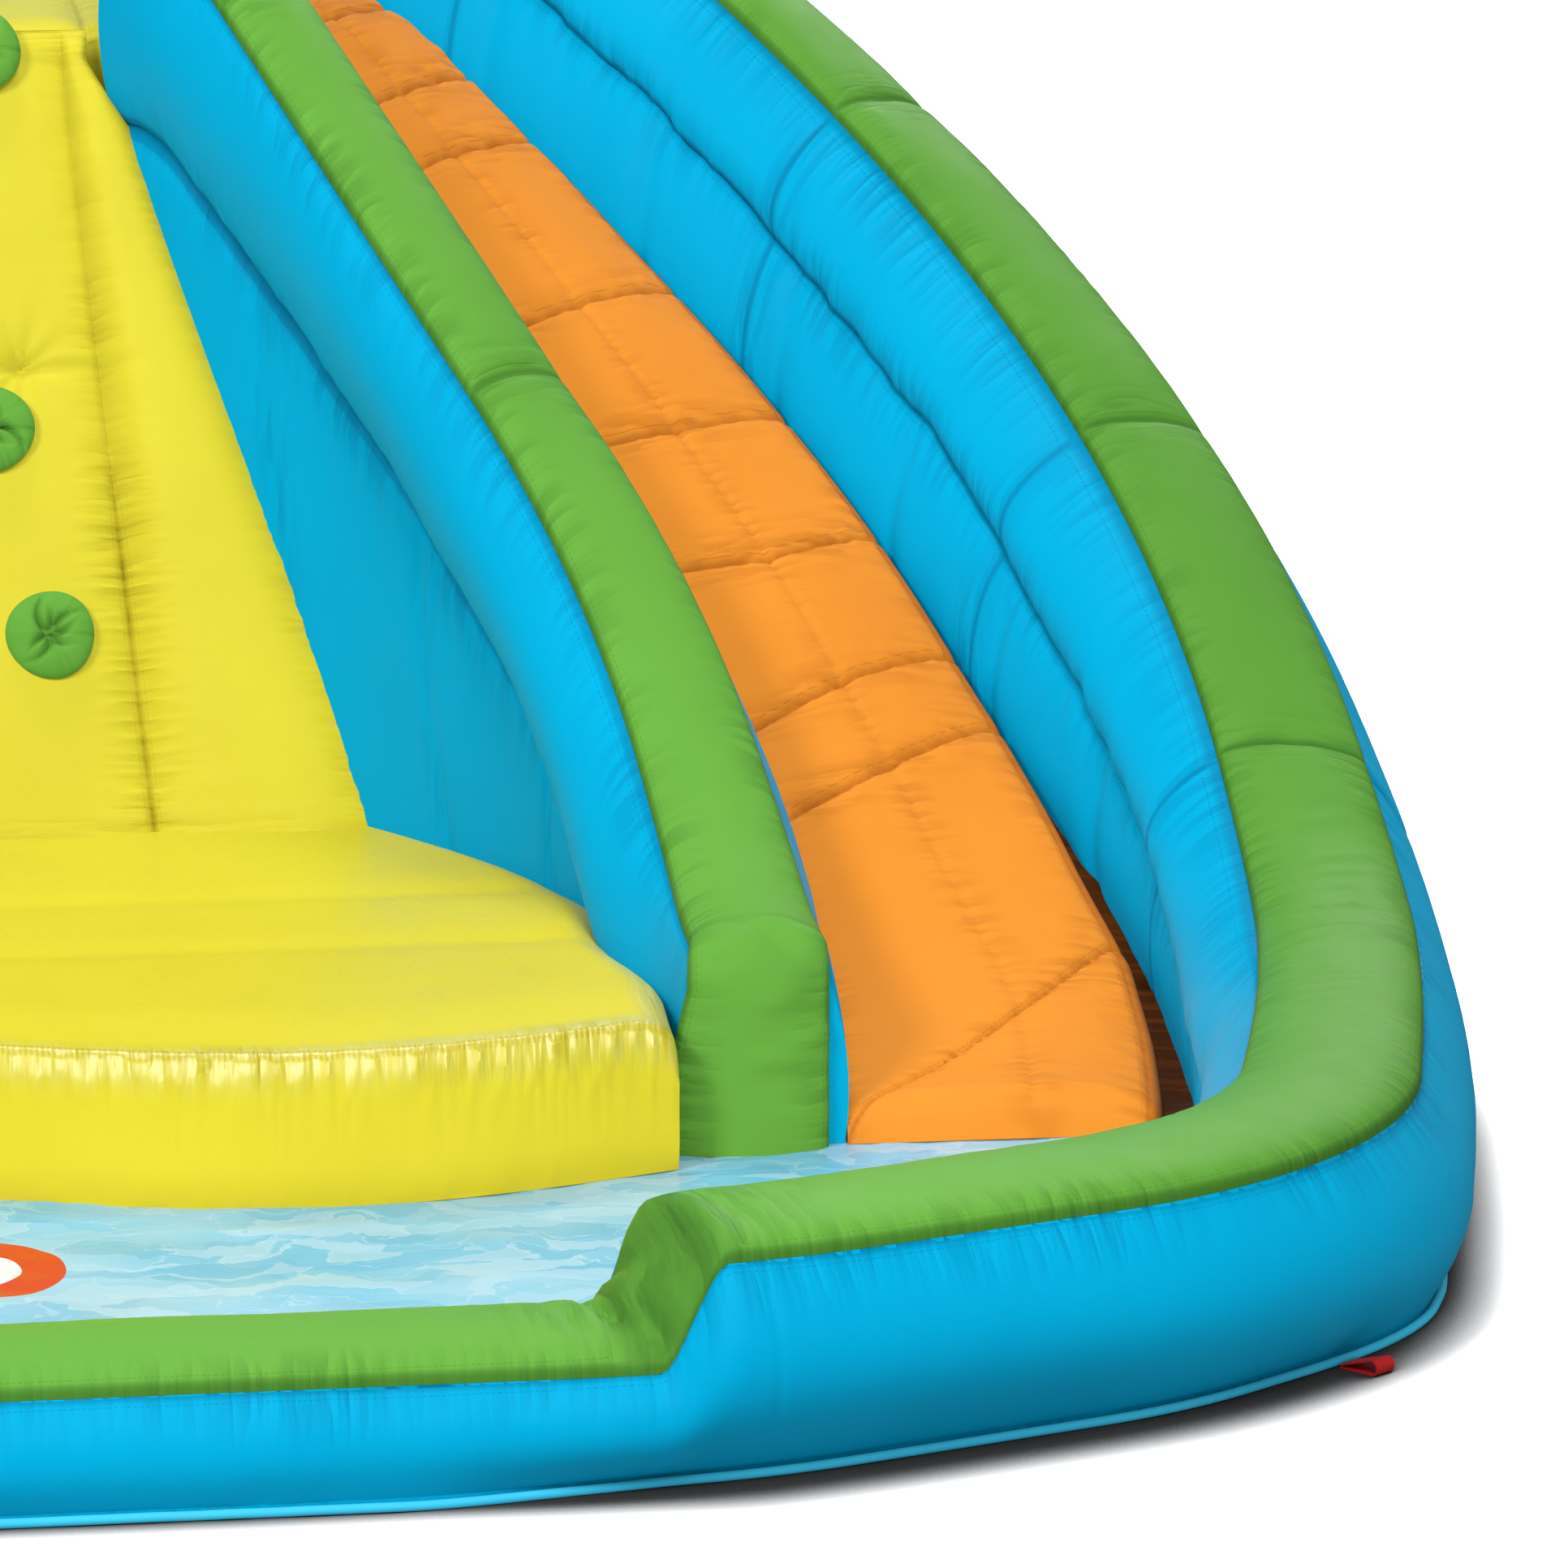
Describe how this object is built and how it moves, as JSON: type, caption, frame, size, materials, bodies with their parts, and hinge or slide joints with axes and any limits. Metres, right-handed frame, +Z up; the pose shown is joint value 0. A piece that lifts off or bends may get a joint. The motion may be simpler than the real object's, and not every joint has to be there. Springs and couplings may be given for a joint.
{
  "type": "inflatable water slide",
  "caption": "Blow-up water slide with curved lanes either side of a climbing wall, a landing and a low splash pool, standing inflated.",
  "frame": {"origin": "on the ground under the middle of the footprint's side-to-side width", "axes": "+Z up, -Y towards the splash pool, X across the slide; the slide is a mirror image of itself across X = 0"},
  "size_m": [4.5854, 4.6775, 2.0975],
  "materials": {
    "blue_fabric": "woven coated fabric, soft sheen",
    "green_fabric": "woven coated fabric, soft sheen",
    "hem_welt": "woven coated fabric, soft sheen",
    "orange_fabric": "woven coated fabric, soft sheen",
    "printed_floor": "printed coated fabric, smooth",
    "red_webbing": "woven webbing, matt",
    "yellow_fabric": "woven coated fabric, soft sheen"
  },
  "bodies": {
    "inflatable": {"back_cap": "green_fabric", "back_wall": "blue_fabric", "base_piping": "hem_welt", "base_sheet": "blue_fabric", "climbing_hold_1": "green_fabric", "climbing_hold_2": "green_fabric", "climbing_hold_3": "green_fabric", "climbing_hold_4": "green_fabric", "climbing_hold_5": "green_fabric", "climbing_hold_6": "green_fabric", "climbing_hold_7": "green_fabric", "climbing_wall": "yellow_fabric", "front_cap": "green_fabric", "front_wall": "blue_fabric", "landing_platform": "yellow_fabric", "pool_floor": "printed_floor", "pool_side_cap_left": "green_fabric", "pool_side_cap_right": "green_fabric", "pool_side_wall_left": "blue_fabric", "pool_side_wall_right": "blue_fabric", "slide_bed_left": "orange_fabric", "slide_bed_right": "orange_fabric", "slide_inner_cap_left": "green_fabric", "slide_inner_cap_right": "green_fabric", "slide_inner_wall_left": "blue_fabric", "slide_inner_wall_right": "blue_fabric", "slide_outer_cap_left": "green_fabric", "slide_outer_cap_right": "green_fabric", "slide_outer_wall_left": "blue_fabric", "slide_outer_wall_right": "blue_fabric", "top_deck": "yellow_fabric", "tower_chamber": "blue_fabric"},
    "anchor_loop_left_1": {"anchor_loop_left_1": "red_webbing"},
    "anchor_loop_left_2": {"anchor_loop_left_2": "red_webbing"},
    "anchor_loop_left_3": {"anchor_loop_left_3": "red_webbing"},
    "anchor_loop_left_4": {"anchor_loop_left_4": "red_webbing"},
    "anchor_loop_right_1": {"anchor_loop_right_1": "red_webbing"},
    "anchor_loop_right_2": {"anchor_loop_right_2": "red_webbing"},
    "anchor_loop_right_3": {"anchor_loop_right_3": "red_webbing"},
    "anchor_loop_right_4": {"anchor_loop_right_4": "red_webbing"}
  },
  "joints": [
    {"name": "anchor_loop_left_1_hinge", "type": "hinge", "parent": "inflatable", "child": "anchor_loop_left_1", "pos_m": [-1.83898, -1.84007, 0.003], "axis": [-0.7901, 0.613, 0], "range_deg": [0, 40]},
    {"name": "anchor_loop_left_2_hinge", "type": "hinge", "parent": "inflatable", "child": "anchor_loop_left_2", "pos_m": [-2.22276, 0.06991, 0.003], "axis": [0.1458, 0.9893, 0], "range_deg": [0, 40]},
    {"name": "anchor_loop_left_3_hinge", "type": "hinge", "parent": "inflatable", "child": "anchor_loop_left_3", "pos_m": [-1.65041, 1.26572, 0.003], "axis": [0.6465, 0.763, 0], "range_deg": [0, 40]},
    {"name": "anchor_loop_left_4_hinge", "type": "hinge", "parent": "inflatable", "child": "anchor_loop_left_4", "pos_m": [-0.81661, 2.02786, 0.003], "axis": [0.8086, 0.5883, 0], "range_deg": [0, 40]},
    {"name": "anchor_loop_right_1_hinge", "type": "hinge", "parent": "inflatable", "child": "anchor_loop_right_1", "pos_m": [1.83898, -1.84007, 0.003], "axis": [-0.7901, -0.613, 0], "range_deg": [0, 40]},
    {"name": "anchor_loop_right_2_hinge", "type": "hinge", "parent": "inflatable", "child": "anchor_loop_right_2", "pos_m": [2.22276, 0.06991, 0.003], "axis": [0.1458, -0.9893, 0], "range_deg": [0, 40]},
    {"name": "anchor_loop_right_3_hinge", "type": "hinge", "parent": "inflatable", "child": "anchor_loop_right_3", "pos_m": [1.65041, 1.26572, 0.003], "axis": [0.6465, -0.763, 0], "range_deg": [0, 40]},
    {"name": "anchor_loop_right_4_hinge", "type": "hinge", "parent": "inflatable", "child": "anchor_loop_right_4", "pos_m": [0.81661, 2.02786, 0.003], "axis": [0.8086, -0.5883, 0], "range_deg": [0, 40]}
  ]
}
